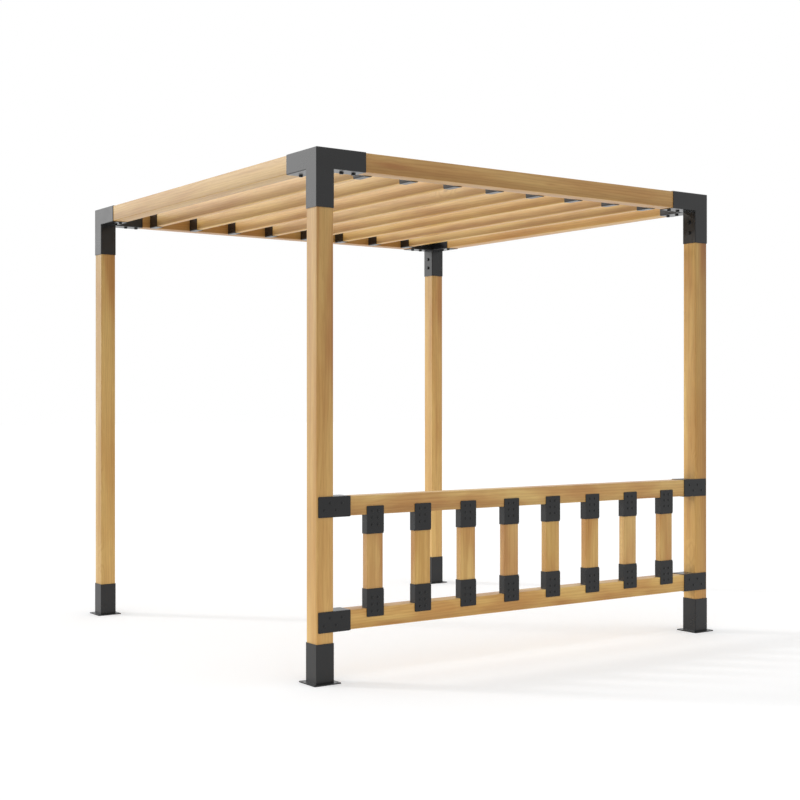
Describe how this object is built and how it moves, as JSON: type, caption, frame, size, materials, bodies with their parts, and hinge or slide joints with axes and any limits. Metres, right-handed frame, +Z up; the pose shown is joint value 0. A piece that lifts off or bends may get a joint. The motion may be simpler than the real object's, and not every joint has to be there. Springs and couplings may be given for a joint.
{
  "type": "pergola",
  "caption": "Square open timber pergola: posts in black steel bases, steel corner brackets, beams with rafters between them, and a railing with balusters along the front.",
  "frame": {"origin": "on the ground in the middle of the posts, at the bottom centre of the bounding box", "axes": "+Z up, -Y towards the railing side, +X to the right when facing the railing from outside"},
  "size_m": [2.6166, 2.6166, 2.4463],
  "materials": {
    "timber": "planed and stained, satin",
    "bracket_steel": "black powder coat, satin"
  },
  "bodies": {
    "root": {"front_left_post": "timber", "front_right_post": "timber", "back_left_post": "timber", "back_right_post": "timber", "front_beam": "timber", "back_beam": "timber", "left_beam": "timber", "right_beam": "timber", "rafter_1": "timber", "rafter_2": "timber", "rafter_3": "timber", "rafter_4": "timber", "rafter_5": "timber", "rafter_6": "timber", "rafter_7": "timber", "rafter_8": "timber", "bottom_rail": "timber", "top_rail": "timber", "baluster_1": "timber", "baluster_2": "timber", "baluster_3": "timber", "baluster_4": "timber", "baluster_5": "timber", "baluster_6": "timber", "baluster_7": "timber", "baluster_8": "timber", "front_left_base": "bracket_steel", "front_right_base": "bracket_steel", "back_left_base": "bracket_steel", "back_right_base": "bracket_steel", "front_left_corner_bracket": "bracket_steel", "front_right_corner_bracket": "bracket_steel", "back_left_corner_bracket": "bracket_steel", "back_right_corner_bracket": "bracket_steel", "front_rafter_hangers": "bracket_steel", "back_rafter_hangers": "bracket_steel", "bottom_rail_left_bracket": "bracket_steel", "bottom_rail_right_bracket": "bracket_steel", "top_rail_left_bracket": "bracket_steel", "top_rail_right_bracket": "bracket_steel", "upper_baluster_brackets": "bracket_steel", "lower_baluster_brackets": "bracket_steel"}
  },
  "joints": []
}
